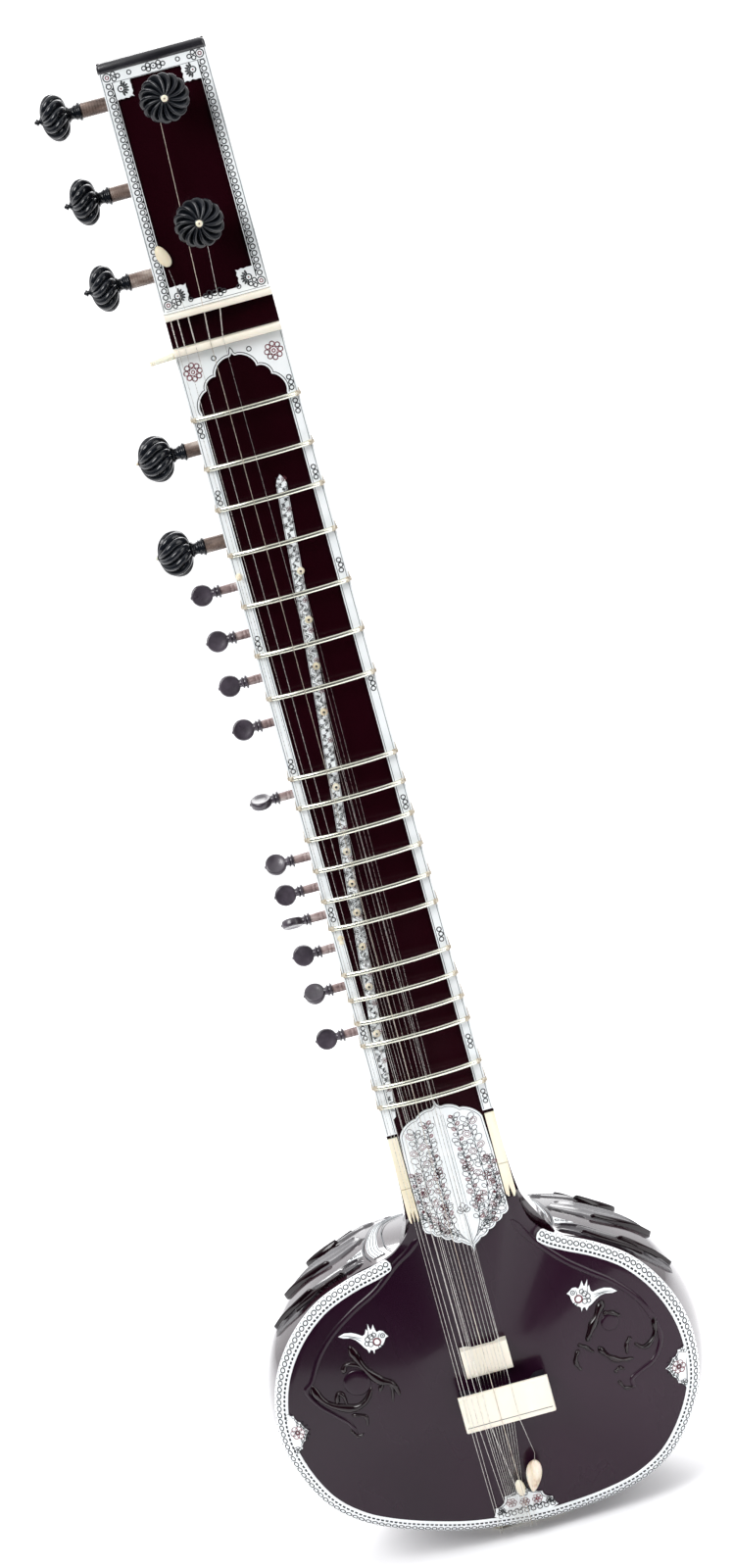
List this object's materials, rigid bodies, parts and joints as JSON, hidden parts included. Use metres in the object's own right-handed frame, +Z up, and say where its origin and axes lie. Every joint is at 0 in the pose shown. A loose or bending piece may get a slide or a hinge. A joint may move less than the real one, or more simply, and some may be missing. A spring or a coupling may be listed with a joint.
{
  "type": "sitar",
  "caption": "Long-necked Indian lute with a gourd body, arched tied frets that slide, turning tuning pegs on head and neck, and sympathetic strings under the played ones",
  "frame": {"origin": "on the ground under the tailpiece, on the neck's centre line", "axes": "+Z up along the neck from the tailpiece to the head; the front with the frets faces -Y; the bass side with the pegs is -X"},
  "size_m": [0.3752, 0.31, 1.2745],
  "materials": {
    "maroon_lacquer": "very dark maroon lacquer, glossy",
    "soundboard_lacquer": "near-black maroon lacquer with a soft sheen",
    "gourd_lacquer": "near-black maroon lacquer, glossy, carved on the shoulders",
    "celluloid": "white inlay sheet with inked engraving",
    "bone": "ivory-coloured bone, softly polished",
    "ebony": "black wood, satin",
    "peg_ebony": "turned and fluted black wood, polished",
    "taraf_peg_wood": "turned black wood, polished",
    "string_steel": "drawn steel wire",
    "fret_nickel": "polished pale nickel-silver rod"
  },
  "bodies": {
    "body": {"neck_trough": "maroon_lacquer", "head_panel": "maroon_lacquer", "neck_panel": "maroon_lacquer", "head_border": "celluloid", "neck_binding": "celluloid", "cartouche": "celluloid", "heel_strip_bass": "bone", "heel_strip_treble": "bone", "nut": "bone", "string_guide": "bone", "grommet_strip": "celluloid", "soundboard": "soundboard_lacquer", "edge_binding": "celluloid", "gourd_shell": "gourd_lacquer", "neck_heel": "maroon_lacquer", "tailpiece": "bone", "tail_plate": "celluloid", "main_bridge_plate": "bone", "main_bridge_feet": "ebony", "taraf_bridge": "bone", "main_strings": "string_steel", "taraf_strings": "string_steel"},
    "b_bead": {"tuning_bead": "bone"},
    "b_f01": {"fret_01": "fret_nickel"},
    "b_f02": {"fret_02": "fret_nickel"},
    "b_f03": {"fret_03": "fret_nickel"},
    "b_f04": {"fret_04": "fret_nickel"},
    "b_f05": {"fret_05": "fret_nickel"},
    "b_f06": {"fret_06": "fret_nickel"},
    "b_f07": {"fret_07": "fret_nickel"},
    "b_f08": {"fret_08": "fret_nickel"},
    "b_f09": {"fret_09": "fret_nickel"},
    "b_f10": {"fret_10": "fret_nickel"},
    "b_f11": {"fret_11": "fret_nickel"},
    "b_f12": {"fret_12": "fret_nickel"},
    "b_f13": {"fret_13": "fret_nickel"},
    "b_f14": {"fret_14": "fret_nickel"},
    "b_f15": {"fret_15": "fret_nickel"},
    "b_f16": {"fret_16": "fret_nickel"},
    "b_f17": {"fret_17": "fret_nickel"},
    "b_f18": {"fret_18": "fret_nickel"},
    "b_f19": {"fret_19": "fret_nickel"},
    "b_head_peg_upper": {"head_peg_upper": "peg_ebony"},
    "b_head_peg_middle": {"head_peg_middle": "peg_ebony"},
    "b_head_peg_lower": {"head_peg_lower": "peg_ebony"},
    "b_front_peg_upper": {"front_peg_upper": "peg_ebony"},
    "b_front_peg_lower": {"front_peg_lower": "peg_ebony"},
    "b_chikari_peg_upper": {"chikari_peg_upper": "peg_ebony"},
    "b_chikari_peg_lower": {"chikari_peg_lower": "peg_ebony"},
    "b_taraf_peg_01": {"taraf_peg_01": "taraf_peg_wood"},
    "b_taraf_peg_02": {"taraf_peg_02": "taraf_peg_wood"},
    "b_taraf_peg_03": {"taraf_peg_03": "taraf_peg_wood"},
    "b_taraf_peg_04": {"taraf_peg_04": "taraf_peg_wood"},
    "b_taraf_peg_05": {"taraf_peg_05": "taraf_peg_wood"},
    "b_taraf_peg_06": {"taraf_peg_06": "taraf_peg_wood"},
    "b_taraf_peg_07": {"taraf_peg_07": "taraf_peg_wood"},
    "b_taraf_peg_08": {"taraf_peg_08": "taraf_peg_wood"},
    "b_taraf_peg_09": {"taraf_peg_09": "taraf_peg_wood"},
    "b_taraf_peg_10": {"taraf_peg_10": "taraf_peg_wood"},
    "b_taraf_peg_11": {"taraf_peg_11": "taraf_peg_wood"}
  },
  "joints": [
    {"name": "tuning_bead_slide", "type": "slide", "parent": "body", "child": "b_bead", "axis": [-0.2192, 0.3624, -0.9059], "range_m": [-0.005, 0.005]},
    {"name": "fret_01_slide", "type": "slide", "parent": "body", "child": "b_f01", "axis": [0, 0, 1], "range_m": [-0.005, 0.005]},
    {"name": "fret_02_slide", "type": "slide", "parent": "body", "child": "b_f02", "axis": [0, 0, 1], "range_m": [-0.005, 0.005]},
    {"name": "fret_03_slide", "type": "slide", "parent": "body", "child": "b_f03", "axis": [0, 0, 1], "range_m": [-0.005, 0.005]},
    {"name": "fret_04_slide", "type": "slide", "parent": "body", "child": "b_f04", "axis": [0, 0, 1], "range_m": [-0.005, 0.0015]},
    {"name": "fret_05_slide", "type": "slide", "parent": "body", "child": "b_f05", "axis": [0, 0, 1], "range_m": [-0.005, 0.005]},
    {"name": "fret_06_slide", "type": "slide", "parent": "body", "child": "b_f06", "axis": [0, 0, 1], "range_m": [-0.005, 0.005]},
    {"name": "fret_07_slide", "type": "slide", "parent": "body", "child": "b_f07", "axis": [0, 0, 1], "range_m": [-0.005, 0.005]},
    {"name": "fret_08_slide", "type": "slide", "parent": "body", "child": "b_f08", "axis": [0, 0, 1], "range_m": [-0.005, 0.005]},
    {"name": "fret_09_slide", "type": "slide", "parent": "body", "child": "b_f09", "axis": [0, 0, 1], "range_m": [-0.005, 0.0025]},
    {"name": "fret_10_slide", "type": "slide", "parent": "body", "child": "b_f10", "axis": [0, 0, 1], "range_m": [-0.005, 0.005]},
    {"name": "fret_11_slide", "type": "slide", "parent": "body", "child": "b_f11", "axis": [0, 0, 1], "range_m": [-0.005, 0.0025]},
    {"name": "fret_12_slide", "type": "slide", "parent": "body", "child": "b_f12", "axis": [0, 0, 1], "range_m": [-0.005, 0.0025]},
    {"name": "fret_13_slide", "type": "slide", "parent": "body", "child": "b_f13", "axis": [0, 0, 1], "range_m": [-0.005, 0.0015]},
    {"name": "fret_14_slide", "type": "slide", "parent": "body", "child": "b_f14", "axis": [0, 0, 1], "range_m": [-0.005, 0.005]},
    {"name": "fret_15_slide", "type": "slide", "parent": "body", "child": "b_f15", "axis": [0, 0, 1], "range_m": [-0.005, 0.0015]},
    {"name": "fret_16_slide", "type": "slide", "parent": "body", "child": "b_f16", "axis": [0, 0, 1], "range_m": [-0.005, 0.005]},
    {"name": "fret_17_slide", "type": "slide", "parent": "body", "child": "b_f17", "axis": [0, 0, 1], "range_m": [-0.005, 0.0015]},
    {"name": "fret_18_slide", "type": "slide", "parent": "body", "child": "b_f18", "axis": [0, 0, 1], "range_m": [-0.005, 0.005]},
    {"name": "fret_19_slide", "type": "slide", "parent": "body", "child": "b_f19", "axis": [0, 0, 1], "range_m": [-0.005, 0.005]},
    {"name": "head_peg_upper_turn", "type": "hinge", "parent": "body", "child": "b_head_peg_upper", "pos_m": [-0.0428, -0.04, 1.2425], "axis": [-1, 0, 0], "continuous": true},
    {"name": "head_peg_middle_turn", "type": "hinge", "parent": "body", "child": "b_head_peg_middle", "pos_m": [-0.04301, -0.04, 1.1735], "axis": [-1, 0, 0], "continuous": true},
    {"name": "head_peg_lower_turn", "type": "hinge", "parent": "body", "child": "b_head_peg_lower", "pos_m": [-0.04322, -0.04, 1.1043], "axis": [-1, 0, 0], "continuous": true},
    {"name": "front_peg_upper_turn", "type": "hinge", "parent": "body", "child": "b_front_peg_upper", "pos_m": [0.0018, -0.0762, 1.237], "axis": [0, -1, 0], "continuous": true},
    {"name": "front_peg_lower_turn", "type": "hinge", "parent": "body", "child": "b_front_peg_lower", "pos_m": [0.0025, -0.0762, 1.1387], "axis": [0, -1, 0], "continuous": true},
    {"name": "chikari_peg_upper_turn", "type": "hinge", "parent": "body", "child": "b_chikari_peg_upper", "pos_m": [-0.04364, -0.0545, 0.9647], "axis": [-1, 0, 0], "continuous": true},
    {"name": "chikari_peg_lower_turn", "type": "hinge", "parent": "body", "child": "b_chikari_peg_lower", "pos_m": [-0.04387, -0.0545, 0.8875], "axis": [-1, 0, 0], "continuous": true},
    {"name": "taraf_peg_01_turn", "type": "hinge", "parent": "body", "child": "b_taraf_peg_01", "pos_m": [-0.04398, -0.0545, 0.8495], "axis": [-1, 0, 0], "continuous": true},
    {"name": "taraf_peg_02_turn", "type": "hinge", "parent": "body", "child": "b_taraf_peg_02", "pos_m": [-0.0441, -0.0545, 0.8103], "axis": [-1, 0, 0], "continuous": true},
    {"name": "taraf_peg_03_turn", "type": "hinge", "parent": "body", "child": "b_taraf_peg_03", "pos_m": [-0.04421, -0.0545, 0.7727], "axis": [-1, 0, 0], "continuous": true},
    {"name": "taraf_peg_04_turn", "type": "hinge", "parent": "body", "child": "b_taraf_peg_04", "pos_m": [-0.04433, -0.0545, 0.7353], "axis": [-1, 0, 0], "continuous": true},
    {"name": "taraf_peg_05_turn", "type": "hinge", "parent": "body", "child": "b_taraf_peg_05", "pos_m": [-0.04451, -0.0545, 0.674], "axis": [-1, 0, 0], "continuous": true},
    {"name": "taraf_peg_06_turn", "type": "hinge", "parent": "body", "child": "b_taraf_peg_06", "pos_m": [-0.04467, -0.0545, 0.6207], "axis": [-1, 0, 0], "continuous": true},
    {"name": "taraf_peg_07_turn", "type": "hinge", "parent": "body", "child": "b_taraf_peg_07", "pos_m": [-0.04475, -0.0545, 0.5943], "axis": [-1, 0, 0], "continuous": true},
    {"name": "taraf_peg_08_turn", "type": "hinge", "parent": "body", "child": "b_taraf_peg_08", "pos_m": [-0.04482, -0.0545, 0.57], "axis": [-1, 0, 0], "continuous": true},
    {"name": "taraf_peg_09_turn", "type": "hinge", "parent": "body", "child": "b_taraf_peg_09", "pos_m": [-0.04491, -0.0545, 0.5416], "axis": [-1, 0, 0], "continuous": true},
    {"name": "taraf_peg_10_turn", "type": "hinge", "parent": "body", "child": "b_taraf_peg_10", "pos_m": [-0.04501, -0.0545, 0.508], "axis": [-1, 0, 0], "continuous": true},
    {"name": "taraf_peg_11_turn", "type": "hinge", "parent": "body", "child": "b_taraf_peg_11", "pos_m": [-0.04513, -0.0545, 0.4685], "axis": [-1, 0, 0], "continuous": true}
  ]
}
